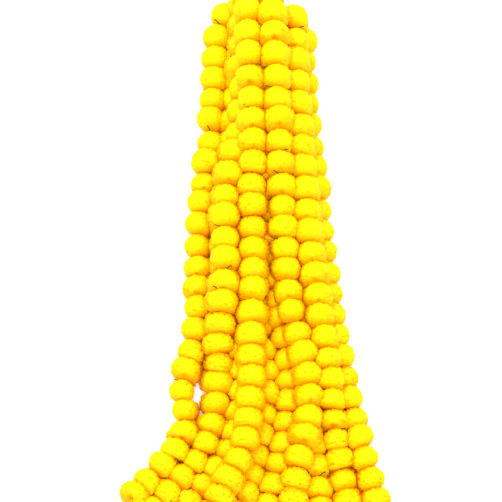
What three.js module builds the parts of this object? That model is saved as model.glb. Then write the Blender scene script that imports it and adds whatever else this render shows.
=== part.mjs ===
// Marigold garland: strands of yellow marigold heads threaded on cotton, gathered at one
// knot and laid down on a surface. Units are millimetres. +Z is up from the surface, and
// +Y points along the garland from its spread lower ends to the knot.
import * as THREE from "three";

// One marigold head and its place on the thread
const HEAD_RADIUS = 29.5; // from the thread out to the petals' general surface
const HEAD_SIZE_SPREAD = 0.06; // largest share by which a head is bigger or smaller
const HEAD_PITCH = 44.5; // spacing of the heads along their thread
const PETAL_COLUMNS = 6; // petals in one tier round the thread
const PETAL_TIERS = 2;
const TIER_LATITUDE = 29; // degrees of the outer tiers above and below a head's middle
const PETAL_TIP = 1.16; // how far the petals' tips reach, as a share of the head's radius
const PETAL_SPREAD = 0.06; // largest share by which a petal is longer or shorter
const PETAL_GAP = 0.79; // depth of the gaps between petals, as a share of the head's radius
const NECK_RADIUS = 11; // where one head meets the next
const HEAD_TWIST = 0.5; // largest turn of a head about its thread, in radians

// Cotton thread, three-sided, with a stopper knot under the last head
const THREAD_RADIUS = 1.1; // to its corners
const THREAD_SIDES = 3;
const BORE_RADIUS = 1.8; // hole through the heads, to its corners
const HEADS_PER_STITCH = 2; // straight stretches of thread run through this many heads
const THREAD_LEAD = 6; // straight run out of the first head before it turns to the knot
const STOPPER_RADIUS = 4;
const STOPPER_GAP = 1.5; // between the last head and the stopper knot
const STOPPER_LENGTH = 6;
const THREAD_TAIL = 12;

// Knot that gathers the threads, lying on the surface
const KNOT_RADIUS = 8;
const KNOT_PLACE = [10, 616]; // middle of the knot
const KNOT_TURNS = 4;
const TURN_WIDTH = 5;
const KNOT_LENGTH = KNOT_TURNS * TURN_WIDTH;
const TURN_GROOVE = 1.2;
const TUFT_LENGTH = 16;
const TUFT_RADIUS = 6.5;
const KNOT_SIDES = 10;
const THREAD_CIRCLE = 5.2; // the threads enter the knot on a circle of this radius
const TOUCH_GAP = 0.3;

// How the strands lie and press on each other
const REST_HEIGHT = 0.86; // centre of a head above the surface, as a share of its radius
const PRESSED_BELOW = 6.5; // petals nearer the surface than this are pressed flat on it
const CONTACT_DISTANCE = 0.86; // of two touching heads, as a share of their radii's sum
const SETTLE_STEPS = 160;
const SETTLE_DROP = 0.5; // fall in one step
const ROUTE_PULL = 0.25; // share of the way back to its route that a head goes in one step
const BEND_STIFFNESS = 0.12;
const NEAR_DISTANCE = 110; // heads further apart than this on the routes never touch
const PRESS_GAP = 0.2; // kept clear on each side where two heads press together
const SEED = 20811;

// Routes of the strands as they are laid, from the head by the knot to the last head. The
// third number is the height that a strand is let down from.
const ROUTES = [
  [[-62, 470, 23], [-85, 292, 23], [-95, 160, 23], [-123, 0, 23], [-120, -130, 23], [-136, -240, 23],
    [-157, -310, 23], [-149, -370, 23], [-148, -440, 23], [-189, -500, 23], [-276, -568, 23]],
  [[-18, 426, 23], [-36, 290, 23], [-42, 186, 23], [-69, 0, 23], [-60, -100, 23], [-38, -200, 23],
    [-26, -300, 23], [-46, -430, 23], [-100, -500, 23], [-176, -590, 23]],
  [[8, 470, 23], [6, 290, 23], [-28, 0, 23], [14, -200, 23], [26, -300, 23], [8, -440, 23],
    [-40, -598, 23]],
  [[24, 492, 65], [30, 290, 65], [29, 150, 50], [28, 0, 23], [60, -200, 23], [72, -310, 23],
    [60, -440, 23], [16, -600, 23]],
  [[46, 448, 23], [57, 290, 23], [84, 0, 23], [112, -200, 23], [124, -310, 23], [122, -440, 23],
    [142, -602, 23]],
  [[84, 412, 23], [103, 280, 23], [114, 180, 23], [141, 0, 23], [160, -149, 23], [195, -338, 23],
    [227, -443, 23], [271, -606, 23]],
  [[-25, 486, 65], [-27, 290, 65], [-33, 200, 65], [-60, 110, 65], [-62, -60, 65], [-70, -210, 50],
    [-76, -300, 23], [-92, -420, 23], [-160, -495, 23], [-236, -580, 23]],
  [[80, 458, 65], [90, 290, 65], [112, 20, 65], [132, -122, 65], [160, -340, 65], [173, -440, 35],
    [206, -600, 23]],
  [[32, 508, 115], [44, 290, 108], [52, 130, 85], [64, -10, 65], [72, -150, 65], [116, -270, 65],
    [112, -380, 60], [86, -480, 50], [74, -600, 23]],
  [[-19, 512, 115], [-9, 290, 108], [-5, 130, 85], [-5, 0, 65], [-8, -275, 65], [-20, -420, 60],
    [-60, -500, 40], [-112, -596, 23]],
];

const PETAL_YELLOW = 0xfbc605;
const COTTON = 0xd9c690;
const UP = new THREE.Vector3(0, 0, 1);

// Repeatable random numbers from 0 to 1
let randomState = SEED;
function random() {
  randomState = (randomState * 48271) % 2147483647;
  return randomState / 2147483647;
}

const spread = (share) => 1 + share * (2 * random() - 1);

// Heads at even spacing along each route
function plantHeads() {
  return ROUTES.map((route, strand) => {
    const points = route.map((point) => new THREE.Vector3(...point));
    const curve = new THREE.CatmullRomCurve3(points, false, "catmullrom");
    const length = curve.getLength();
    const count = Math.floor(length / HEAD_PITCH) + 1;
    return Array.from({ length: count }, (_, place) => {
      const home = curve.getPointAt((place * HEAD_PITCH) / length);
      const radius = HEAD_RADIUS * spread(HEAD_SIZE_SPREAD);
      return { strand, place, home, radius, centre: home.clone() };
    });
  });
}

// Pairs of heads that could touch: those of two strands, or not next to each other in one
function nearPairs(heads) {
  const pairs = [];
  for (let i = 0; i < heads.length; i += 1) {
    for (let j = i + 1; j < heads.length; j += 1) {
      const [a, b] = [heads[i], heads[j]];
      const neighbours = a.strand === b.strand && b.place - a.place < 2;
      if (!neighbours && a.home.distanceTo(b.home) < NEAR_DISTANCE) pairs.push([a, b]);
    }
  }
  return pairs;
}

// Moves two heads along the line between them until they are a set distance apart
function space(a, b, distance) {
  const line = b.centre.clone().sub(a.centre);
  const move = (line.length() - distance) / 2;
  line.normalize();
  a.centre.addScaledVector(line, move);
  b.centre.addScaledVector(line, -move);
}

// Lets the strands down on to the surface and each other
function settle(strands, pairs) {
  const heads = strands.flat();
  for (let step = 0; step < SETTLE_STEPS; step += 1) {
    for (const { home, centre } of heads) {
      centre.x += (home.x - centre.x) * ROUTE_PULL;
      centre.y += (home.y - centre.y) * ROUTE_PULL;
      centre.z -= SETTLE_DROP;
    }
    for (const strand of strands) {
      for (let i = 1; i < strand.length - 1; i += 1) {
        const middle = strand[i - 1].centre.clone().lerp(strand[i + 1].centre, 0.5);
        strand[i].centre.lerp(middle, BEND_STIFFNESS);
      }
      for (let i = 1; i < strand.length; i += 1) space(strand[i - 1], strand[i], HEAD_PITCH);
    }
    for (const [a, b] of pairs) {
      const contact = CONTACT_DISTANCE * (a.radius + b.radius);
      if (a.centre.distanceTo(b.centre) < contact) space(a, b, contact);
    }
    for (const { centre, radius } of heads) centre.z = Math.max(centre.z, REST_HEIGHT * radius);
  }
}

// Each pair of heads shares a plane, which neither passes
function pressPairs(heads, pairs) {
  for (const head of heads) head.planes = [];
  for (const [a, b] of pairs) {
    const normal = b.centre.clone().sub(a.centre);
    const distance = normal.length();
    normal.normalize();
    const reach = (distance * a.radius) / (a.radius + b.radius);
    a.planes.push({ normal, reach: reach - PRESS_GAP });
    b.planes.push({ normal: normal.clone().negate(), reach: distance - reach - PRESS_GAP });
  }
}

// Draws a point in towards a head's centre until it is inside all the planes
function pressIn(point, centre, planes) {
  const arm = point.clone().sub(centre);
  let share = 1;
  for (const { normal, reach } of planes) {
    const over = arm.dot(normal);
    if (over > reach) share = Math.min(share, reach / over);
  }
  return centre.clone().addScaledVector(arm, share);
}

// Two directions across the thread: one level, and one square to it
function acrossThread(along) {
  const side = along.clone().cross(UP).normalize();
  return [side, side.clone().cross(along).normalize()];
}

function ringPoint(centre, [side, lift], radius, angle) {
  return centre.clone()
    .addScaledVector(side, radius * Math.cos(angle))
    .addScaledVector(lift, radius * Math.sin(angle));
}

// Where the thread passes: the two ends of the strand, and the necks between the heads
function threadPoints(strand) {
  const centres = strand.map((head) => head.centre);
  const first = centres[0].clone().lerp(centres[1], -0.5);
  const last = centres.at(-1).clone().lerp(centres.at(-2), -0.5);
  const necks = centres.slice(1).map((centre, i) => centre.clone().lerp(centres[i], 0.5));
  const points = [first, ...necks, last];
  for (let i = 1; i < points.length - 1; i += 2) {
    points[i].copy(points[i - 1]).lerp(points[i + 1], 0.5);
  }
  return points;
}

// Direction of the thread at each of its points
function threadDirections(points) {
  return points.map((_, i) => {
    const before = points[Math.max(i - 1, 0)];
    const after = points[Math.min(i + 1, points.length - 1)];
    return after.clone().sub(before).normalize();
  });
}

// A mesh under construction: vertices, and triangles that index them
class Shape {
  constructor() {
    this.vertices = [];
    this.triangles = [];
  }

  add(point) {
    this.vertices.push(point.x, point.y, point.z);
    return this.vertices.length / 3 - 1;
  }

  ring(centre, across, radius, sides) {
    return Array.from({ length: sides }, (_, j) =>
      this.add(ringPoint(centre, across, radius, (j * 2 * Math.PI) / sides)));
  }

  // Band between two rings of as many points; flip turns it to face the ring's inside
  band(from, to, flip = false) {
    from.forEach((a, j) => {
      const next = (j + 1) % from.length;
      const [b, c, d] = [from[next], to[next], to[j]];
      if (flip) this.triangles.push(a, b, c, a, c, d);
      else this.triangles.push(a, c, b, a, d, c);
    });
  }

  // Net of diamonds between the rows, each row half a step on from the last, with a tip
  // raised over each diamond
  petals(rows, tips) {
    const at = (ring, j) => ring[j % ring.length];
    rows[0].forEach((corner, j) => {
      this.triangles.push(corner, rows[1][j], at(rows[0], j + 1));
      this.triangles.push(rows.at(-1)[j], at(rows.at(-1), j + 1), at(rows.at(-2), j + 1));
    });
    tips.forEach((tier, t) => {
      tier.forEach((tip, j) => {
        const corners = [at(rows[t], j + 1), rows[t + 1][j], rows[t + 2][j], at(rows[t + 1], j + 1)];
        corners.forEach((corner, k) => this.triangles.push(corner, at(corners, k + 1), tip));
      });
    });
  }

  // Flat end between a ring of twice as many points and the ring of the bore in it
  washer(outer, inner, flip = false) {
    inner.forEach((a, j) => {
      const b = inner[(j + 1) % inner.length];
      const [c, d, e] = [outer[2 * j], outer[2 * j + 1], outer[(2 * j + 2) % outer.length]];
      const faces = [[c, d, a], [d, b, a], [d, e, b]];
      for (const [p, q, r] of faces) this.triangles.push(...(flip ? [p, r, q] : [p, q, r]));
    });
  }

  lid(ring, flip = false) {
    for (let j = 1; j < ring.length - 1; j += 1) {
      this.triangles.push(ring[0], ...(flip ? [ring[j + 1], ring[j]] : [ring[j], ring[j + 1]]));
    }
  }

  mesh(name, color, roughness) {
    const geometry = new THREE.BufferGeometry();
    geometry.setAttribute("position", new THREE.Float32BufferAttribute(this.vertices, 3));
    geometry.setIndex(this.triangles);
    geometry.computeVertexNormals();
    const material = new THREE.MeshStandardMaterial({ color, roughness, metalness: 0 });
    const made = new THREE.Mesh(geometry, material);
    made.name = name;
    return made;
  }
}

// The strand's heads as one body with the thread's bore through it. Gaps between the petals
// form a net of diamonds, and a petal's tip stands out of each diamond.
function bloomsShape(strand, points, directions) {
  const shape = new Shape();
  const acrosses = directions.map(acrossThread);
  const step = (2 * Math.PI) / PETAL_COLUMNS;
  const latitudes = Array.from({ length: PETAL_TIERS }, (_, tier) =>
    THREE.MathUtils.degToRad(TIER_LATITUDE) * ((2 * tier) / (PETAL_TIERS - 1) - 1));
  let turn = 0;

  function neck(i) {
    const ring = [];
    for (let j = 0; j < PETAL_COLUMNS; j += 1) {
      let point = ringPoint(points[i], acrosses[i], NECK_RADIUS, turn + j * step);
      for (const head of [strand[i - 1], strand[i]]) {
        if (head) point = pressIn(point, head.centre, head.planes);
      }
      ring.push(shape.add(point));
    }
    return ring;
  }

  function petalRow(head, along, latitude, reach, angle, unevenness) {
    const across = acrossThread(along);
    const rise = head.radius * reach * Math.sin(latitude);
    const middle = head.centre.clone().addScaledVector(along, rise);
    return Array.from({ length: PETAL_COLUMNS }, (_, j) => {
      const out = head.radius * reach * Math.cos(latitude) * spread(unevenness);
      const point = ringPoint(middle, across, out, angle + j * step);
      if (point.z < PRESSED_BELOW) point.z = 0;
      return shape.add(pressIn(point, head.centre, [...head.planes, ...head.ends]));
    });
  }

  const firstNeck = neck(0);
  let lastNeck = firstNeck;
  strand.forEach((head, i) => {
    const along = points[i + 1].clone().sub(points[i]).normalize();
    const twist = (HEAD_TWIST * (2 * random() - 1)) / (PETAL_TIERS + 1);
    const rows = [lastNeck];
    const tips = [];
    for (const latitude of latitudes) {
      turn += step / 2 + twist;
      rows.push(petalRow(head, along, latitude, PETAL_GAP, turn, 0));
      tips.push(petalRow(head, along, latitude, PETAL_TIP, turn + step / 2, PETAL_SPREAD));
    }
    turn += step / 2 + twist;
    rows.push(neck(i + 1));
    shape.petals(rows, tips);
    lastNeck = rows.at(-1);
  });

  const bores = stitchEnds(points).map((i) =>
    shape.ring(points[i], acrosses[i], BORE_RADIUS, THREAD_SIDES));
  for (let i = 1; i < bores.length; i += 1) shape.band(bores[i - 1], bores[i], true);
  // The last neck has turned on from the first, so its points are counted from the one that
  // faces the bore's first corner
  const skipped = Math.round(turn / step) % PETAL_COLUMNS;
  const facingBore = lastNeck.map((_, j) => lastNeck[(j + PETAL_COLUMNS - skipped) % PETAL_COLUMNS]);
  shape.washer(firstNeck, bores[0]);
  shape.washer(facingBore, bores.at(-1), true);
  return shape;
}

// Each head also stays on its own side of the planes across the thread at its two necks
function pressNeighbours(strand, points, directions) {
  strand.forEach((head, i) => {
    head.ends = [i, i + 1].map((k) => {
      const normal = directions[k].clone().multiplyScalar(k === i ? -1 : 1);
      return { normal, reach: points[k].clone().sub(head.centre).dot(normal) - PRESS_GAP };
    });
  });
}

// Where the straight stretches of thread meet
function stitchEnds(points) {
  const all = points.map((_, i) => i);
  return all.filter((i) => i % HEADS_PER_STITCH === 0 || i === points.length - 1);
}

// The thread from its end in the knot, through the heads, to its tail under the stopper
function threadShape(points, directions, knotEnd) {
  const shape = new Shape();
  const last = points.at(-1);
  const down = directions.at(-1);
  const below = (distance) => last.clone().addScaledVector(down, distance);
  const stations = [
    [knotEnd, new THREE.Vector3(0, -1, 0), THREAD_RADIUS],
    [points[0].clone().addScaledVector(directions[0], -THREAD_LEAD), directions[0], THREAD_RADIUS],
    ...stitchEnds(points).map((i) => [points[i], directions[i], THREAD_RADIUS]),
    [below(STOPPER_GAP), down, THREAD_RADIUS],
    [below(STOPPER_GAP + STOPPER_LENGTH / 2), down, STOPPER_RADIUS],
    [below(STOPPER_GAP + STOPPER_LENGTH), down, THREAD_RADIUS],
    [below(STOPPER_GAP + STOPPER_LENGTH + THREAD_TAIL), down, THREAD_RADIUS],
  ];
  const rings = stations.map(([point, along, radius]) =>
    shape.ring(point, acrossThread(along), radius, THREAD_SIDES));
  for (let i = 1; i < rings.length; i += 1) shape.band(rings[i - 1], rings[i]);
  shape.lid(rings[0]);
  shape.lid(rings.at(-1), true);
  return shape;
}

// Where each thread enters the knot: spaced round a circle, in the order of their directions
function knotEnds(firstPoints) {
  const middleHeight = firstPoints.reduce((sum, point) => sum + point.z, 0) / firstPoints.length;
  const bearings = firstPoints.map(({ x, z }) => Math.atan2(z - middleHeight, x - KNOT_PLACE[0]));
  const order = [...bearings].sort((a, b) => a - b);
  return bearings.map((bearing) => {
    const angle = (order.indexOf(bearing) / order.length) * 2 * Math.PI - Math.PI;
    return new THREE.Vector3(
      KNOT_PLACE[0] + THREAD_CIRCLE * Math.cos(angle),
      KNOT_PLACE[1] - KNOT_LENGTH / 2 - TOUCH_GAP,
      KNOT_RADIUS + THREAD_CIRCLE * Math.sin(angle));
  });
}

// Thread wound round the gathered strands' ends, with their cut ends as a tuft beyond it
function knotMesh() {
  const start = -KNOT_LENGTH / 2;
  const groove = KNOT_RADIUS - TURN_GROOVE;
  const profile = [[0, start], [groove, start]];
  for (let turn = 0; turn < KNOT_TURNS; turn += 1) {
    profile.push([KNOT_RADIUS, start + (turn + 0.5) * TURN_WIDTH]);
    profile.push([groove, start + (turn + 1) * TURN_WIDTH]);
  }
  profile.push([TUFT_RADIUS, TUFT_LENGTH - start], [0, TUFT_LENGTH - start]);
  const points = profile.map(([radius, along]) => new THREE.Vector2(radius, along));
  const material = new THREE.MeshStandardMaterial({ color: COTTON, roughness: 0.9, metalness: 0 });
  const knot = new THREE.Mesh(new THREE.LatheGeometry(points, KNOT_SIDES), material);
  knot.name = "gathering_knot";
  knot.position.set(KNOT_PLACE[0], KNOT_PLACE[1], KNOT_RADIUS);
  return knot;
}

function garland() {
  const strands = plantHeads();
  const heads = strands.flat();
  const pairs = nearPairs(heads);
  settle(strands, pairs);
  pressPairs(heads, pairs);

  const group = new THREE.Group();
  const routes = strands.map(threadPoints);
  const ends = knotEnds(routes.map((points) => points[0]));
  strands.forEach((strand, i) => {
    const points = routes[i];
    const directions = threadDirections(points);
    pressNeighbours(strand, points, directions);
    const name = `strand_${String(i + 1).padStart(2, "0")}`;
    group.add(bloomsShape(strand, points, directions).mesh(`${name}_blooms`, PETAL_YELLOW, 0.8));
    group.add(threadShape(points, directions, ends[i]).mesh(`${name}_thread`, COTTON, 0.9));
  });
  group.add(knotMesh());

  // The origin is on the surface under the middle of the garland
  const middle = new THREE.Box3().setFromObject(group, true).getCenter(new THREE.Vector3());
  group.position.set(-middle.x, -middle.y, 0);
  return group;
}

export default garland();
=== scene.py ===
"""Marigold garland: the looks of ten strands of marigold heads, their threads and their knot.

Lengths are in millimetres until a mesh is made, which is in metres, as lights and materials
are. The strands are laid by the rules that the CAD part uses, and then each head strays a few
millimetres from where its solid sits.
"""

import math
import random

import bpy
import numpy as np
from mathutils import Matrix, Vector


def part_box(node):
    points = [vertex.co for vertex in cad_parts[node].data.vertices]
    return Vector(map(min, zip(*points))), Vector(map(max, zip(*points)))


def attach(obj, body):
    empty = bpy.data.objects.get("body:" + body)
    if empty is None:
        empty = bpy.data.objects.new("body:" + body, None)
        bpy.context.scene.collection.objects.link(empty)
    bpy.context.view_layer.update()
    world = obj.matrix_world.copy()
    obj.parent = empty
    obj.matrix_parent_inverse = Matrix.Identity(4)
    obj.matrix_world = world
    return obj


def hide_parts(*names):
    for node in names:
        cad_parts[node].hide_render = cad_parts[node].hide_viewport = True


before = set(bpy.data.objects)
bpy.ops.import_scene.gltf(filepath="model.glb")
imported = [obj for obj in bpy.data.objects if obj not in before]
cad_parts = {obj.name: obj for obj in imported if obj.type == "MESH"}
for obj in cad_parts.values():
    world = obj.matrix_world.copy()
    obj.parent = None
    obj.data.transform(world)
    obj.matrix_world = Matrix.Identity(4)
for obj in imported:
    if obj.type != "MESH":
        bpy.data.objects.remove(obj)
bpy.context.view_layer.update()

MM = 0.001
UP = np.array([0.0, 0.0, 1.0])

# --- the strands' lie, as in the CAD part ---

HEAD_RADIUS = 29.5
HEAD_SIZE_SPREAD = 0.06
HEAD_PITCH = 44.5
KNOT_PLACE = (10, 616)
KNOT_RADIUS = 8
KNOT_LENGTH = 20
TUFT_LENGTH = 16
THREAD_CIRCLE = 5.2
THREAD_LEAD = 6
STOPPER_RADIUS = 4
STOPPER_GAP = 1.5
STOPPER_LENGTH = 6
THREAD_TAIL = 12
REST_HEIGHT = 0.86
CONTACT_DISTANCE = 0.86
SETTLE_STEPS = 160
SETTLE_DROP = 0.5
ROUTE_PULL = 0.25
BEND_STIFFNESS = 0.12
NEAR_DISTANCE = 110
SEED = 20811
STRAY = 4.0  # furthest that a modelled head sits from its solid's middle, along the thread
STRAY_ASIDE = 1.2  # and to any side of it
STRAY_SEED = 5
HEAD_UNEVENNESS = 0.06  # further spread of the modelled heads' sizes
DOME_PUSH = 1.3  # where a head's dome is held back, as a share of the way to the neck above it
DOME_YIELD = 0.88  # and where the head above draws back to, as a share of its way to that neck
SIDE_PUSH = 1.04  # the same, for the planes between heads of different strands
SIDE_REACH = 1.3  # such planes further out than this, as a share of the radius, are left out
FLOOR_GAP = 1.3  # height of the plane that presses on the lowest petals
CROWN_LEAN = 50  # degrees, up from the way down the strand
NECK_LEAN = 41  # of the plane between two heads
LEAN_SPREAD = 12
LEAN_SEED = 31
ROUTES = [
    [(-62, 470, 23), (-85, 292, 23), (-95, 160, 23), (-123, 0, 23), (-120, -130, 23),
     (-136, -240, 23), (-157, -310, 23), (-149, -370, 23), (-148, -440, 23), (-189, -500, 23),
     (-276, -568, 23)],
    [(-18, 426, 23), (-36, 290, 23), (-42, 186, 23), (-69, 0, 23), (-60, -100, 23),
     (-38, -200, 23), (-26, -300, 23), (-46, -430, 23), (-100, -500, 23), (-176, -590, 23)],
    [(8, 470, 23), (6, 290, 23), (-28, 0, 23), (14, -200, 23), (26, -300, 23), (8, -440, 23),
     (-40, -598, 23)],
    [(24, 492, 65), (30, 290, 65), (29, 150, 50), (28, 0, 23), (60, -200, 23), (72, -310, 23),
     (60, -440, 23), (16, -600, 23)],
    [(46, 448, 23), (57, 290, 23), (84, 0, 23), (112, -200, 23), (124, -310, 23), (122, -440, 23),
     (142, -602, 23)],
    [(84, 412, 23), (103, 280, 23), (114, 180, 23), (141, 0, 23), (160, -149, 23), (195, -338, 23),
     (227, -443, 23), (271, -606, 23)],
    [(-25, 486, 65), (-27, 290, 65), (-33, 200, 65), (-60, 110, 65), (-62, -60, 65),
     (-70, -210, 50), (-76, -300, 23), (-92, -420, 23), (-160, -495, 23), (-236, -580, 23)],
    [(80, 458, 65), (90, 290, 65), (112, 20, 65), (132, -122, 65), (160, -340, 65),
     (173, -440, 35), (206, -600, 23)],
    [(32, 508, 115), (44, 290, 108), (52, 130, 85), (64, -10, 65), (72, -150, 65), (116, -270, 65),
     (112, -380, 60), (86, -480, 50), (74, -600, 23)],
    [(-19, 512, 115), (-9, 290, 108), (-5, 130, 85), (-5, 0, 65), (-8, -275, 65), (-20, -420, 60),
     (-60, -500, 40), (-112, -596, 23)],
]


class Head:
    """One marigold head: its place on the thread, its size and the planes that press on it."""

    def __init__(self, strand, place, home, radius):
        self.strand, self.place, self.home, self.radius = strand, place, home, radius
        self.centre = list(home)
        self.planes = []


def make_random(state):
    """Repeatable random numbers from 0 to 1, the same as the CAD part's."""
    def draw():
        nonlocal state
        state = (state * 48271) % 2147483647
        return state / 2147483647
    return draw


def curve_point(points, t):
    """Point of a Catmull-Rom curve through the points, t from 0 to 1 over its whole run."""
    spans = len(points) - 1
    i = min(int(t * spans), spans - 1)
    f = t * spans - i
    p1, p2 = points[i], points[i + 1]
    p0 = points[i - 1] if i else 2 * p1 - p2
    p3 = points[i + 2] if i + 2 <= spans else 2 * p2 - p1
    a, b = (p2 - p0) / 2, (p3 - p1) / 2
    return p1 + a * f + (3 * p2 - 3 * p1 - 2 * a - b) * f**2 + (2 * p1 - 2 * p2 + a + b) * f**3


def plant_heads():
    """Heads at even spacing along each route."""
    draw = make_random(SEED)
    strands = []
    for strand, route in enumerate(ROUTES):
        points = [np.array(point, float) for point in route]
        times = np.linspace(0, 1, 201)
        trail = np.array([curve_point(points, t) for t in times])
        steps = np.linalg.norm(np.diff(trail, axis=0), axis=1)
        reached = np.concatenate([[0], np.cumsum(steps)])
        heads = []
        for place in range(int(reached[-1] // HEAD_PITCH) + 1):
            home = curve_point(points, np.interp(place * HEAD_PITCH, reached, times))
            radius = HEAD_RADIUS * (1 + HEAD_SIZE_SPREAD * (2 * draw() - 1))
            heads.append(Head(strand, place, home.tolist(), radius))
        strands.append(heads)
    return strands


def near_pairs(heads):
    """Pairs of heads that could touch."""
    pairs = []
    for i, a in enumerate(heads):
        for b in heads[i + 1:]:
            neighbours = a.strand == b.strand and b.place - a.place < 2
            if not neighbours and math.dist(a.home, b.home) < NEAR_DISTANCE:
                pairs.append((a, b))
    return pairs


def space(a, b, distance):
    """Moves two heads along the line between them until they are a set distance apart."""
    p, q = a.centre, b.centre
    apart = math.dist(p, q)
    share = (apart - distance) / 2 / apart
    for k in range(3):
        move = (q[k] - p[k]) * share
        p[k] += move
        q[k] -= move


def settle(strands, pairs):
    """Lets the strands down on to the surface and each other."""
    heads = [head for strand in strands for head in strand]
    contacts = [(a, b, CONTACT_DISTANCE * (a.radius + b.radius)) for a, b in pairs]
    for _ in range(SETTLE_STEPS):
        for head in heads:
            centre, home = head.centre, head.home
            centre[0] += (home[0] - centre[0]) * ROUTE_PULL
            centre[1] += (home[1] - centre[1]) * ROUTE_PULL
            centre[2] -= SETTLE_DROP
        for strand in strands:
            for before, head, after in zip(strand, strand[1:], strand[2:]):
                for k in range(3):
                    middle = (before.centre[k] + after.centre[k]) / 2
                    head.centre[k] += (middle - head.centre[k]) * BEND_STIFFNESS
            for before, head in zip(strand, strand[1:]):
                space(before, head, HEAD_PITCH)
        for a, b, contact in contacts:
            if math.dist(a.centre, b.centre) < contact:
                space(a, b, contact)
        for head in heads:
            head.centre[2] = max(head.centre[2], REST_HEIGHT * head.radius)
    for head in heads:
        head.centre = np.array(head.centre)


def thread_points(strand):
    """Where the thread passes: the strand's two ends, and the necks between its heads."""
    centres = [head.centre for head in strand]
    points = [1.5 * centres[0] - 0.5 * centres[1]]
    points += [(a + b) / 2 for a, b in zip(centres, centres[1:])]
    points.append(1.5 * centres[-1] - 0.5 * centres[-2])
    for i in range(1, len(points) - 1, 2):
        points[i] = (points[i - 1] + points[i + 1]) / 2
    return np.array(points)


def unit(vector):
    return vector / np.linalg.norm(vector)


def stray_heads(strands, rng):
    """Shifts the heads a little along their threads and aside, and makes their sizes uneven."""
    for strand in strands:
        ways = [unit(b.centre - a.centre) for a, b in zip(strand, strand[1:])]
        for head, way in zip(strand, ways + ways[-1:]):
            head.centre += way * rng.uniform(-STRAY, STRAY)
            head.centre += [rng.uniform(-STRAY_ASIDE, STRAY_ASIDE) for _ in range(3)]
            head.radius *= 1 + HEAD_UNEVENNESS * rng.uniform(-1, 1)


def lean(way, degrees, rng):
    """A way down a strand that leans up from the surface, and a little aside."""
    lift = unit(UP - way * (UP @ way))
    up = math.radians(degrees + LEAN_SPREAD * rng.uniform(-1, 1))
    aside = math.radians(LEAN_SPREAD * rng.uniform(-1, 1))
    return unit(way + lift * math.tan(up) + np.cross(way, lift) * math.tan(aside))


def press_heads(strands, pairs, rng):
    """Gives each head its crown's direction and the planes that press on it, each as (normal,
    distance from its centre): those of other strands, then its own strand's and the floor's."""
    for a, b in pairs:
        line = b.centre - a.centre
        distance = np.linalg.norm(line)
        reach = distance * a.radius / (a.radius + b.radius)
        if reach < SIDE_REACH * a.radius:
            a.planes.append((line / distance, SIDE_PUSH * reach))
            b.planes.append((-line / distance, SIDE_PUSH * (distance - reach)))
    for strand in strands:
        points = thread_points(strand)
        ways = [unit(b - a) for a, b in zip(points, points[1:])]
        necks = [lean(way, NECK_LEAN, rng) for way in (ways[0], *ways)]
        for i, head in enumerate(strand):
            head.beside = [normal for normal, _ in head.planes]
            for point, normal, share in ((points[i], -necks[i], DOME_PUSH),
                                         (points[i + 1], necks[i + 1], DOME_YIELD)):
                head.planes.append((normal, share * float((point - head.centre) @ normal)))
            head.planes.append((-UP, head.centre[2] - FLOOR_GAP))
            head.crown = lean(ways[i], CROWN_LEAN, rng)


strands = plant_heads()
pairs = near_pairs([head for strand in strands for head in strand])
settle(strands, pairs)
routes = [thread_points(strand) for strand in strands]
stray_heads(strands, random.Random(STRAY_SEED))
press_heads(strands, pairs, random.Random(LEAN_SEED))

# The CAD part moves everything so that its origin is under the middle of its box
knot_low, knot_high = (np.array(corner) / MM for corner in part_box("gathering_knot"))
SHIFT = np.array([
    (knot_low[0] + knot_high[0]) / 2 - KNOT_PLACE[0],
    knot_low[1] - (KNOT_PLACE[1] - KNOT_LENGTH / 2),
    0.0])

# --- camera and stage ---

PHOTO_SIZE = 502
MM_PER_PIXEL = 2.1
PHOTO_ORIGIN = (255, 239)  # the pixel above the routes' zero
VIEW_HEIGHT = 40  # height at which the picture's scale holds
LENS = 100
SENSOR = 36
FAR_CLIP = 50  # metres, as are the lights' and the floor's places and sizes below
BOUNCES = 24
SOFT_BOUNCES = 16  # of light scattered by petals and let through them
WORLD_STRENGTH = 1.85
KEY_PLACE, KEY_SIZE, KEY_POWER = (-0.4, 2.6, 2.6), 1.8, 135
FILL_PLACE, FILL_SIZE, FILL_POWER = (0.1, -0.1, 3.4), 1.6, 50
FLOOR_SIZE = 12
FLOOR_COLOUR = (0.93, 0.93, 0.92)


def add_camera():
    """Looks straight down on the garland, as far off as the photo's scale needs."""
    span = PHOTO_SIZE * MM_PER_PIXEL
    centre = PHOTO_SIZE / 2
    x = (centre - PHOTO_ORIGIN[0]) * MM_PER_PIXEL + SHIFT[0]
    y = (PHOTO_ORIGIN[1] - centre) * MM_PER_PIXEL + SHIFT[1]
    data = bpy.data.cameras.new("camera")
    data.lens, data.sensor_width = LENS, SENSOR
    data.clip_end = FAR_CLIP
    camera = bpy.data.objects.new("camera", data)
    camera.location = Vector((x, y, VIEW_HEIGHT + span * LENS / SENSOR)) * MM
    bpy.context.collection.objects.link(camera)
    bpy.context.scene.camera = camera


def add_area_light(name, place, size, power):
    """A round white light that points at the frame's origin."""
    data = bpy.data.lights.new(name, "AREA")
    data.shape, data.size, data.energy = "DISK", size, power
    light = bpy.data.objects.new(name, data)
    light.location = place
    light.rotation_euler = (-Vector(place)).to_track_quat("-Z", "Y").to_euler()
    bpy.context.collection.objects.link(light)


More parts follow.
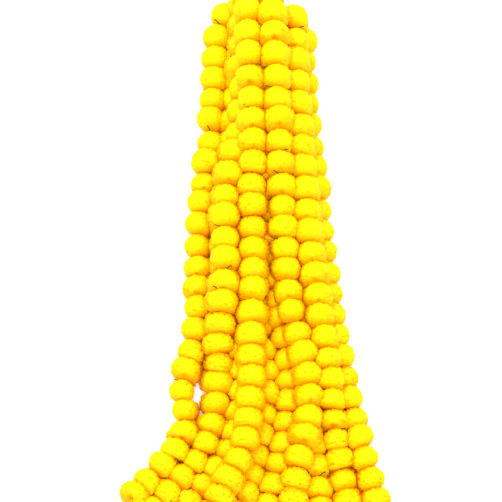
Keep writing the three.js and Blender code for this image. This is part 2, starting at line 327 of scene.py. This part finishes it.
def add_stage():
    """A pale floor under white light from all sides, with a key light beyond the knot."""
    scene = bpy.context.scene
    scene.view_settings.view_transform = "Standard"
    scene.cycles.max_bounces = BOUNCES
    scene.cycles.diffuse_bounces = SOFT_BOUNCES
    scene.cycles.transmission_bounces = SOFT_BOUNCES
    world = bpy.data.worlds.new("studio")
    scene.world = world
    world.use_nodes = True
    background = world.node_tree.nodes["Background"]
    background.inputs["Color"].default_value = (1, 1, 1, 1)
    background.inputs["Strength"].default_value = WORLD_STRENGTH
    add_area_light("key", KEY_PLACE, KEY_SIZE, KEY_POWER)
    add_area_light("fill", FILL_PLACE, FILL_SIZE, FILL_POWER)
    bpy.ops.mesh.primitive_plane_add(size=FLOOR_SIZE, location=(0, 0, 0))
    floor = bpy.context.object
    floor.name = "floor"
    material, shader = new_material("pale_floor", FLOOR_COLOUR, 0.75)
    nodes, links = material.node_tree.nodes, material.node_tree.links
    grain = nodes.new("ShaderNodeTexNoise")
    grain.inputs["Scale"].default_value = 700
    bump = nodes.new("ShaderNodeBump")
    bump.inputs["Strength"].default_value = 0.05
    bump.inputs["Distance"].default_value = 0.0004
    links.new(grain.outputs["Fac"], bump.inputs["Height"])
    links.new(bump.outputs["Normal"], shader.inputs["Normal"])
    floor.data.materials.append(material)


# --- materials ---

def new_material(name, colour, roughness):
    material = bpy.data.materials.new(name)
    material.use_nodes = True
    shader = material.node_tree.nodes["Principled BSDF"]
    shader.inputs["Base Color"].default_value = (*colour, 1)
    shader.inputs["Roughness"].default_value = roughness
    return material, shader


def attribute(nodes, name):
    node = nodes.new("ShaderNodeAttribute")
    node.attribute_name = name
    return node


def colour_ramp(nodes, stops):
    node = nodes.new("ShaderNodeValToRGB")
    elements = node.color_ramp.elements
    while len(elements) < len(stops):
        elements.new(1)
    for element, (place, colour) in zip(elements, stops):
        element.position = place
        element.color = (*colour, 1)
    return node


def multiply(material, colour, factor, by):
    """A colour socket's colour times a plain one, as far as the factor socket says."""
    nodes, links = material.node_tree.nodes, material.node_tree.links
    node = nodes.new("ShaderNodeMix")
    node.data_type, node.blend_type = "RGBA", "MULTIPLY"
    sockets = [socket for socket in node.inputs if socket.type == "RGBA"]
    links.new(factor, node.inputs["Factor"])
    links.new(colour, sockets[0])
    sockets[1].default_value = (*by, 1)
    return next(socket for socket in node.outputs if socket.type == "RGBA")


def petal_material():
    """Yellow petals with fine veins that run to their tips; the deeper orange at their roots is
    painted shade under the tier above.
    """
    material, shader = new_material("marigold_petal", (1, 0.7, 0), 0.6)
    nodes, links = material.node_tree.nodes, material.node_tree.links
    shader.inputs["Specular IOR Level"].default_value = 0.08

    place = attribute(nodes, "petal")  # x: across, y: from root to tip, z: a tint for each petal
    split = nodes.new("ShaderNodeSeparateXYZ")
    links.new(place.outputs["Vector"], split.inputs["Vector"])
    # painted shade: yellow at the tips, deeper orange towards the roots, which lie under the tier
    # above
    ramp = colour_ramp(nodes, [
        (0.2, (1.0, 0.54, 0.0)), (0.5, (1.0, 0.67, 0.0)), (0.8, (1.0, 0.74, 0.0)),
        (1.0, (1.0, 0.77, 0.0))])
    links.new(split.outputs["Y"], ramp.inputs["Fac"])

    along = nodes.new("ShaderNodeMapping")
    along.inputs["Scale"].default_value = (9, 0.7, 31)
    veins = nodes.new("ShaderNodeTexNoise")
    veins.inputs["Scale"].default_value = 1
    veins.inputs["Detail"].default_value = 3
    links.new(place.outputs["Vector"], along.inputs["Vector"])
    links.new(along.outputs["Vector"], veins.inputs["Vector"])

    shade = nodes.new("ShaderNodeMapRange")
    shade.inputs["From Min"].default_value = 0.45
    shade.inputs["From Max"].default_value = 0.75
    links.new(veins.outputs["Fac"], shade.inputs["Value"])
    veined = multiply(material, ramp.outputs["Color"], shade.outputs["Result"], (1, 0.86, 0.6))
    tinted = multiply(material, veined, split.outputs["Z"], (1, 0.85, 0.6))
    links.new(tinted, shader.inputs["Base Color"])

    bump = nodes.new("ShaderNodeBump")
    bump.inputs["Strength"].default_value = 0.35
    bump.inputs["Distance"].default_value = 0.0006
    links.new(veins.outputs["Fac"], bump.inputs["Height"])
    links.new(bump.outputs["Normal"], shader.inputs["Normal"])

    glow = nodes.new("ShaderNodeBsdfTranslucent")
    links.new(tinted, glow.inputs["Color"])
    mix = nodes.new("ShaderNodeMixShader")
    mix.inputs["Fac"].default_value = 0.4
    links.new(shader.outputs["BSDF"], mix.inputs[1])
    links.new(glow.outputs["BSDF"], mix.inputs[2])
    links.new(mix.outputs["Shader"], nodes["Material Output"].inputs["Surface"])
    return material


def green_material():
    """Calyx and stalk: dark green, ribbed along its length, browner at the cut."""
    material, shader = new_material("calyx_green", (0.05, 0.11, 0.02), 0.7)
    nodes, links = material.node_tree.nodes, material.node_tree.links
    shader.inputs["Specular IOR Level"].default_value = 0.1
    place = attribute(nodes, "petal")
    split = nodes.new("ShaderNodeSeparateXYZ")
    links.new(place.outputs["Vector"], split.inputs["Vector"])
    ramp = colour_ramp(nodes, [
        (0.0, (0.1, 0.26, 0.01)), (0.5, (0.05, 0.15, 0.005)), (0.9, (0.03, 0.07, 0.005)),
        (1.0, (0.1, 0.07, 0.02))])
    links.new(split.outputs["Y"], ramp.inputs["Fac"])
    along = nodes.new("ShaderNodeMapping")
    along.inputs["Scale"].default_value = (14, 1, 7)
    ribs = nodes.new("ShaderNodeTexNoise")
    ribs.inputs["Scale"].default_value = 1
    links.new(place.outputs["Vector"], along.inputs["Vector"])
    links.new(along.outputs["Vector"], ribs.inputs["Vector"])
    links.new(multiply(material, ramp.outputs["Color"], ribs.outputs["Fac"], (0.5, 0.6, 0.4)),
              shader.inputs["Base Color"])
    bump = nodes.new("ShaderNodeBump")
    bump.inputs["Strength"].default_value = 0.5
    bump.inputs["Distance"].default_value = 0.0005
    links.new(ribs.outputs["Fac"], bump.inputs["Height"])
    links.new(bump.outputs["Normal"], shader.inputs["Normal"])
    return material


def cotton_material():
    """Undyed cotton thread, fuzzy, a little uneven in colour."""
    material, shader = new_material("cotton_thread", (0.72, 0.6, 0.36), 0.9)
    nodes, links = material.node_tree.nodes, material.node_tree.links
    shader.inputs["Sheen Weight"].default_value = 0.3
    shader.inputs["Specular IOR Level"].default_value = 0.15
    place = nodes.new("ShaderNodeTexCoord")
    fibres = nodes.new("ShaderNodeTexNoise")
    fibres.inputs["Scale"].default_value = 1600
    fibres.inputs["Detail"].default_value = 4
    links.new(place.outputs["Object"], fibres.inputs["Vector"])
    ramp = colour_ramp(nodes, [
        (0.3, (0.17, 0.11, 0.045)), (0.55, (0.3, 0.21, 0.1)), (0.8, (0.42, 0.31, 0.16))])
    links.new(fibres.outputs["Fac"], ramp.inputs["Fac"])
    links.new(ramp.outputs["Color"], shader.inputs["Base Color"])
    bump = nodes.new("ShaderNodeBump")
    bump.inputs["Strength"].default_value = 0.6
    bump.inputs["Distance"].default_value = 0.0003
    links.new(fibres.outputs["Fac"], bump.inputs["Height"])
    links.new(bump.outputs["Normal"], shader.inputs["Normal"])
    return material


# --- meshes ---

SOFTNESS = 0.7  # how far shading takes a head as one soft ball rather than as single petals


def make_piece(name, points, quads, petal, material, slot=None, outward=None):
    """A piece in metres from points in the strands' millimetres. petal goes to the attribute
    that the materials read. Shading follows the outward directions in part, if given."""
    mesh = bpy.data.meshes.new(name)
    mesh.vertices.add(len(points))
    mesh.vertices.foreach_set("co", ((points + SHIFT) * MM).astype(np.float32).ravel())
    mesh.loops.add(quads.size)
    mesh.loops.foreach_set("vertex_index", quads.astype(np.int32).ravel())
    mesh.polygons.add(len(quads))
    mesh.polygons.foreach_set("loop_start", np.arange(0, quads.size, 4, dtype=np.int32))
    mesh.polygons.foreach_set("use_smooth", np.ones(len(quads), bool))
    mesh.attributes.new("petal", "FLOAT_VECTOR", "POINT")
    mesh.attributes["petal"].data.foreach_set("vector", petal.astype(np.float32).ravel())
    mesh.update(calc_edges=True)
    if outward is not None:
        normals = np.empty(len(points) * 3, np.float32)
        mesh.vertex_normals.foreach_get("vector", normals)
        softened = (1 - SOFTNESS) * normals.reshape(-1, 3) + SOFTNESS * outward
        softened /= np.linalg.norm(softened, axis=1)[:, None]
        mesh.normals_split_custom_set_from_vertices(softened)
    mesh.materials.append(material)
    piece = bpy.data.objects.new(name, mesh)
    bpy.context.collection.objects.link(piece)
    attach(piece, "root")
    return piece


def join_shapes(shapes):
    """Several (points, quads, petal) shapes as one."""
    starts = np.cumsum([0] + [len(points) for points, _, _ in shapes])
    return (np.concatenate([points for points, _, _ in shapes]),
            np.concatenate([quads + start for (_, quads, _), start in zip(shapes, starts)]),
            np.concatenate([petal for _, _, petal in shapes]))


def grid_quads(rows, columns, closed=False):
    """Faces of a grid of points, row after row. A closed grid's columns meet round a ring."""
    row, column = np.meshgrid(np.arange(rows - 1), np.arange(columns - (not closed)), indexing="ij")
    row, column = row.ravel(), column.ravel()
    after = (column + 1) % columns
    corners = [row * columns + column, row * columns + after,
               (row + 1) * columns + after, (row + 1) * columns + column]
    return np.stack(corners, axis=1)


# --- marigold heads ---
# A head is modelled with a radius of 1 about its thread, which runs along z to the crown.

HEAD_VARIANTS = 8
HEAD_FLATNESS = 0.92  # height along the thread, as a share of the radius
TIERS = 9
LOWEST_TIER, HIGHEST_TIER = -70, 76  # latitudes of the petals' tips, in degrees
PETALS_AT_EQUATOR = 19
PETALS_AT_POLE = 2
PETAL_HALF_WIDTH = 0.2
PETAL_REACH = 0.52  # latitude from a petal's tip up to where its root dives in, in radians
PETAL_ROWS = [  # (share of the way from root to tip, distance from the middle of the head)
    (0.0, 0.7), (0.45, 0.95), (0.8, 1.01), (1.0, 1.0)]
PETAL_COLUMNS = 5
CORE_RADIUS = 0.86
CORE_ROWS, CORE_COLUMNS = 6, 8
CORE_TOP = 1.45  # latitude of the core's last ring, in radians
PETAL_TINT, HEAD_TINT = 0.7, 0.3  # shares of a petal's tint that are its own and its head's


def petal_shape(rng, latitude, longitude):
    """One petal: comes out from under the tier above it, lies over the tier below it and ends
    in a notched, ruffled edge. s runs from its root to its tip, and u across it."""
    s, out = (np.array(column)[:, None] for column in zip(*PETAL_ROWS))
    u = np.linspace(-1, 1, PETAL_COLUMNS)[None, :]
    half_width = PETAL_HALF_WIDTH * rng.uniform(0.85, 1.2)
    lift, tilt = rng.uniform(-0.02, 0.035), rng.uniform(-0.03, 0.04)
    wave, turn = rng.uniform(0, 2 * math.pi), rng.uniform(-0.35, 0.35)
    lobes = rng.uniform(0.01, 0.06)

    frill = s**2
    out = out + frill * (lift + 0.03 * np.sin(4.4 * u + wave)) + tilt * u - 0.07 * u**2
    drop = PETAL_REACH * (1 - s) + 0.1 * frill * u**2 - frill * lobes * np.cos(3 * math.pi * u)
    across = u * half_width * (0.6 + 0.4 * np.sqrt(s)) * np.where(s > 0.95, 0.84, 1.0)
    drop = drop + turn * across
    angle = latitude + drop
    ring = out * np.cos(angle)
    height = HEAD_FLATNESS * out * np.sin(angle)
    x = ring * math.cos(longitude) - across * math.sin(longitude)
    y = ring * math.sin(longitude) + across * math.cos(longitude)
    points = np.stack(np.broadcast_arrays(x, y, height), axis=-1).reshape(-1, 3)
    tint = np.full_like(x, rng.uniform(0, 1))
    petal = np.stack(np.broadcast_arrays(u * 0.5 + 0.5, s, tint), axis=-1).reshape(-1, 3)
    return points, grid_quads(len(PETAL_ROWS), PETAL_COLUMNS)[:, ::-1], petal


def core_shape():
    """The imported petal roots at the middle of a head, hardly seen between the petals."""
    latitudes = np.linspace(-CORE_TOP, CORE_TOP, CORE_ROWS)[:, None]
    longitudes = np.linspace(0, 2 * math.pi, CORE_COLUMNS, endpoint=False)[None, :]
    x = CORE_RADIUS * np.cos(latitudes) * np.cos(longitudes)
    y = CORE_RADIUS * np.cos(latitudes) * np.sin(longitudes)
    z = CORE_RADIUS * HEAD_FLATNESS * np.sin(latitudes) + 0 * longitudes
    points = np.stack([x, y, z], axis=-1).reshape(-1, 3)
    # halfway along the petals' ramp, so partly in the orange painted at their roots as shade
    petal = np.tile([0.5, 0.5, 0.5], (len(points), 1))
    return points, grid_quads(CORE_ROWS, CORE_COLUMNS, closed=True), petal


def head_shape(seed):
    """A whole head: tiers of petals from the calyx to the crown, over its core."""
    rng = random.Random(seed)
    shapes = [core_shape()]
    for latitude in np.radians(np.linspace(LOWEST_TIER, HIGHEST_TIER, TIERS)):
        count = round(PETALS_AT_EQUATOR * math.cos(latitude) + PETALS_AT_POLE)
        start = rng.uniform(0, 2 * math.pi)
        for i in range(count):
            longitude = start + (i + rng.uniform(-0.25, 0.25)) * 2 * math.pi / count
            shapes.append(petal_shape(rng, latitude + rng.uniform(-0.09, 0.09), longitude))
    return join_shapes(shapes)


PRESS_START = 0.82  # share of the way to a plane at which petals begin to give
PRESS_END = 1.05  # and beyond which they never get
SPLAY = 0.42  # how far the lower petals spread, next to heads of other strands
SPLAY_FROM, SPLAY_OVER = 0.3, 0.4  # cosine of the way to that head where it starts, and its rise
SPLAY_DEPTH = 0.4  # how far below the middle it is full, as a share of the radius


def splay(arms, head):
    """Spreads the lower petals into the corners between a head and those beside it."""
    level = arms[:, :2] / np.linalg.norm(arms[:, :2], axis=1)[:, None]
    crowd = np.zeros(len(arms))
    for normal in head.beside:
        crowd = np.maximum(crowd, np.clip((level @ normal[:2] - SPLAY_FROM) / SPLAY_OVER, 0, 1))
    low = np.clip(-arms[:, 2] / (SPLAY_DEPTH * head.radius), 0, 1)
    return arms * np.stack([1 + SPLAY * crowd * low] * 2 + [np.ones(len(arms))], axis=1)


def press(points, head):
    """Draws points in towards a head's centre so that they stay inside its planes, softly."""
    arms = splay(points - head.centre, head)
    share = np.ones(len(points))
    for normal, reach in head.planes:
        over = np.maximum(arms @ normal / max(reach, 1), PRESS_START)
        give = PRESS_END - PRESS_START
        pressed = PRESS_START + give * np.tanh((over - PRESS_START) / give)
        share = np.minimum(share, pressed / over)
    return head.centre + arms * share[:, None]


def head_axes(towards_crown, turn):
    """Columns that carry a head's own axes to the strands' axes."""
    side = unit(np.cross(towards_crown, UP))
    lift = np.cross(side, towards_crown)
    across = side * math.cos(turn) + lift * math.sin(turn)
    return np.stack([across, np.cross(towards_crown, across), towards_crown], axis=1)


def strand_blooms(strand, variants, rng):
    """All heads of a strand as one shape, and each point's direction from its head's centre."""
    shapes, outward = [], []
    for head in strand:
        shape, quads, petal = variants[rng.randrange(len(variants))]
        axes = head_axes(head.crown, rng.uniform(0, 2 * math.pi))
        placed = head.centre + head.radius * shape @ axes.T
        tinted = petal * [1, 1, PETAL_TINT] + [0, 0, HEAD_TINT * rng.random()]
        shapes.append((press(placed, head), quads, tinted))
        arms = placed - head.centre
        outward.append(arms / np.linalg.norm(arms, axis=1)[:, None])
    return join_shapes(shapes), np.concatenate(outward)


# --- calyxes and stalk stubs, between the heads ---

CALYX_SIDES = 8
CALYX_PROFILE = [  # (radius, distance from the neck towards the head) from stalk to mouth
    (1.6, 0.0), (3.2, 2.0), (5.2, 7.0), (5.8, 12.0)]
STUB_CHANCE = 0.3  # share of heads with a stub of stalk left on
STUB_RADIUS = 1.1
STUB_SIDES = 6
STUB_START = 5  # from the thread
STUB_REACH = (0.76, 0.9)  # how far from the thread it gets, as a share of the head's radius
STUB_BEND = (3, 7)  # how far it bends down over its head
STUB_SPREAD = 110  # degrees round the thread from straight up
STUB_STATIONS = (0, 0.3, 0.55, 0.75, 0.9, 0.98, 1.0)  # shares of its length
STUB_RADII = (1.3, 1.1, 1, 1, 1, 0.9, 0.1)  # there, as shares of its radius
CLOSED_RADIUS = 0.1  # of a thread's last ring, which all but closes its end


def tube_shape(path, radii, sides, tint=0.5):
    """A tube along a path, with a radius for each point and open ends."""
    directions = np.gradient(path, axis=0)
    directions /= np.linalg.norm(directions, axis=1)[:, None]
    side = np.cross(directions, UP)
    side /= np.linalg.norm(side, axis=1)[:, None]
    lift = np.cross(side, directions)
    angles = np.linspace(0, 2 * math.pi, sides, endpoint=False)[None, :, None]
    rings = np.cos(angles) * side[:, None] + np.sin(angles) * lift[:, None]
    points = path[:, None] + rings * np.asarray(radii, float)[:, None, None]
    steps = np.linalg.norm(np.diff(path, axis=0), axis=1)
    along = np.concatenate([[0], np.cumsum(steps)])
    around = np.arange(sides) / sides
    petal = np.stack(np.broadcast_arrays(around[None, :], along[:, None] / along[-1], tint), axis=-1)
    quads = grid_quads(len(path), sides, closed=True)
    return points.reshape(-1, 3), quads[:, ::-1], petal.reshape(-1, 3)


def strand_greens(strand, points, rng):
    """Each head's calyx, under its petals, and here and there a stub of its stalk, which comes
    out between two heads and bends down over its own."""
    shapes = []
    for i, head in enumerate(strand):
        towards_head = unit(points[i + 1] - points[i])
        neck = points[i] + towards_head
        path = np.array([neck + towards_head * along for _, along in CALYX_PROFILE])
        radii = [radius for radius, _ in CALYX_PROFILE]
        shapes.append(tube_shape(path, radii, CALYX_SIDES, rng.random()))
        if rng.random() < STUB_CHANCE:
            axes = head_axes(head.crown, math.radians(90 + STUB_SPREAD * rng.uniform(-1, 1)))
            out, aside = axes[:, 0], axes[:, 1] * rng.uniform(-0.3, 0.3)
            reach = head.radius * rng.uniform(*STUB_REACH)
            bend = rng.uniform(*STUB_BEND)
            path = np.array([
                neck + out * (STUB_START + (reach - STUB_START) * math.sin(math.pi / 2 * t))
                + (aside + head.crown) * bend * t**3 for t in STUB_STATIONS])
            path[:, 2] = np.maximum(path[:, 2], STUB_RADIUS)
            radii = np.array(STUB_RADII) * STUB_RADIUS
            shapes.append(tube_shape(path, radii, STUB_SIDES, rng.random()))
    return join_shapes(shapes)


# --- threads and knots ---

PLY_RADIUS = 0.58
PLY_OFFSET = 0.5
PLY_SIDES = 6
PLY_TWIST = 1.1  # radians from one station to the next
OPEN_STEP, HIDDEN_STEP = 1.5, 7.0  # between stations, in the open and inside the heads
WINDING_RADIUS = 1.3
WINDING_PITCH = 2.5
STOPPER_TURNS = 3
STATIONS_A_TURN = 18
FRAY = 0.45  # how far a ply end strays sideways, as a share of the tuft's radius
TUFT_RADIUS = 6.5


def round_corners(path, rounds=2):
    """Cuts a path's corners, again and again, so that it bends softly."""
    for _ in range(rounds):
        first = 0.75 * path[:-1] + 0.25 * path[1:]
        second = 0.25 * path[:-1] + 0.75 * path[1:]
        cut = np.stack([first, second], axis=1).reshape(-1, 3)
        path = np.concatenate([path[:1], cut, path[-1:]])
    return path


def walk(path, distances):
    """The points that far along a path."""
    steps = np.linalg.norm(np.diff(path, axis=0), axis=1)
    along = np.concatenate([[0], np.cumsum(steps)])
    return np.stack([np.interp(distances, along, path[:, k]) for k in range(3)], axis=1)


def path_length(path):
    return float(np.linalg.norm(np.diff(path, axis=0), axis=1).sum())


def twist_plies(path, tint):
    """Two plies twisted round a path."""
    directions = np.gradient(path, axis=0)
    directions /= np.linalg.norm(directions, axis=1)[:, None]
    side = np.cross(directions, UP)
    side /= np.linalg.norm(side, axis=1)[:, None]
    lift = np.cross(side, directions)
    radii = np.full(len(path), PLY_RADIUS)
    radii[-1] = CLOSED_RADIUS
    shapes = []
    for start in (0, math.pi):
        turn = (start + PLY_TWIST * np.arange(len(path)))[:, None]
        ply = path + PLY_OFFSET * (np.cos(turn) * side + np.sin(turn) * lift)
        shapes.append(tube_shape(ply, radii, PLY_SIDES, tint))
    return shapes


def winding_path(centre, along, radius, pitch, turns):
    """A helix round a line, with its two ends tucked in."""
    side = unit(np.cross(along, UP))
    lift = np.cross(side, along)
    share = np.linspace(0, 1, int(turns * STATIONS_A_TURN) + 1)
    angle = (2 * math.pi * turns * share)[:, None]
    drift = ((share - 0.5) * turns * pitch)[:, None]
    tuck = np.minimum(np.minimum(share, 1 - share) * 2 * turns, 1)[:, None]
    out = radius * (0.55 + 0.45 * np.sqrt(tuck))
    return centre + along * drift + out * (np.cos(angle) * side + np.sin(angle) * lift)


def knot_entries(first_points):
    """Where each thread meets the knot: spaced round a circle, in the order of their bearings."""
    middle = sum(point[2] for point in first_points) / len(first_points)
    bearings = [math.atan2(z - middle, x - KNOT_PLACE[0]) for x, _, z in first_points]
    order = sorted(bearings)
    entries = []
    for bearing in bearings:
        angle = order.index(bearing) / len(order) * 2 * math.pi - math.pi
        entries.append(np.array([
            KNOT_PLACE[0] + THREAD_CIRCLE * math.cos(angle),
            KNOT_PLACE[1] - KNOT_LENGTH / 2,
            KNOT_RADIUS + THREAD_CIRCLE * math.sin(angle)]))
    return entries


def strand_thread(points, entry, tint):
    """A strand's thread, from the knot through its heads to the tail under a stopper knot."""
    up = unit(points[0] - points[1])
    down = unit(points[-1] - points[-2])
    lead = points[0] + THREAD_LEAD * up
    stopper = points[-1] + (STOPPER_GAP + STOPPER_LENGTH / 2) * down
    end = points[-1] + (STOPPER_GAP + STOPPER_LENGTH + THREAD_TAIL) * down
    path = round_corners(np.array([entry, lead, *points, stopper, end]))
    whole = path_length(path)
    opening = np.linalg.norm(lead - entry) + 2 * THREAD_LEAD
    closing = whole - np.linalg.norm(end - points[-1]) - 2 * THREAD_LEAD
    distances = np.concatenate([
        np.arange(0, opening, OPEN_STEP), np.arange(opening, closing, HIDDEN_STEP),
        np.arange(closing, whole, OPEN_STEP)])
    wound = winding_path(stopper, down, STOPPER_RADIUS - WINDING_RADIUS,
                         STOPPER_LENGTH / STOPPER_TURNS * 0.8, STOPPER_TURNS)
    radii = np.full(len(wound), WINDING_RADIUS)
    radii[[0, -1]] = CLOSED_RADIUS
    return join_shapes([*twist_plies(walk(path, distances), tint),
                        tube_shape(wound, radii, PLY_SIDES, tint)])


def knot_shape(entries, rng):
    """Thread wound round the strands' gathered ends, which fray out beyond it."""
    middle = np.array([*KNOT_PLACE, KNOT_RADIUS], float)
    along = np.array([0.0, 1.0, 0.0])
    turns = (KNOT_LENGTH - 2 * WINDING_RADIUS) / WINDING_PITCH
    wound = winding_path(middle, along, KNOT_RADIUS - WINDING_RADIUS, WINDING_PITCH, turns)
    radii = np.full(len(wound), WINDING_RADIUS)
    radii[[0, -1]] = CLOSED_RADIUS
    shapes = [tube_shape(wound, radii, 8)]
    for entry in entries:
        length = KNOT_LENGTH + TUFT_LENGTH * rng.uniform(0.7, 1)
        t = np.linspace(0, 1, 24)[:, None]
        inward = (middle - entry) * [1, 0, 1]
        path = entry + along * length * t + inward * 0.25 * np.sin(math.pi * t)
        path[:, 2] -= 2 * np.maximum(t[:, 0] - 0.6, 0) ** 2 / 0.16
        beyond = np.maximum(t - KNOT_LENGTH / length, 0) / (1 - KNOT_LENGTH / length)
        for ply in twist_plies(path, rng.random()):
            stray = np.array([rng.uniform(-1, 1), 0, rng.uniform(-0.6, 1)]) * FRAY * TUFT_RADIUS
            drift = np.repeat(beyond**1.5 * stray, PLY_SIDES, axis=0)
            shapes.append((ply[0] + drift, ply[1], ply[2]))
    return join_shapes(shapes)


# --- the whole garland ---

HEAD_SEED = 4127
PLACE_SEED = 977

add_camera()
add_stage()

petals, greens, cotton = petal_material(), green_material(), cotton_material()
entries = knot_entries([points[0] for points in routes])
variants = [head_shape(HEAD_SEED + i) for i in range(HEAD_VARIANTS)]
rng = random.Random(PLACE_SEED)
for number, (strand, points, entry) in enumerate(zip(strands, routes, entries), 1):
    name = f"strand_{number:02}"
    shape, outward = strand_blooms(strand, variants, rng)
    blooms = make_piece(f"{name}_petals", *shape, petals, "petals", outward)
    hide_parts(f"{name}_blooms")
    make_piece(f"{name}_calyxes", *strand_greens(strand, points, rng), greens)
    wound = strand_thread(points, entry, rng.random())
    thread = make_piece(f"{name}_cotton", *wound, cotton, "cotton")
    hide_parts(f"{name}_thread")
knot = make_piece("gathering_knot_cotton", *knot_shape(entries, rng), cotton, "cotton")
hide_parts("gathering_knot")
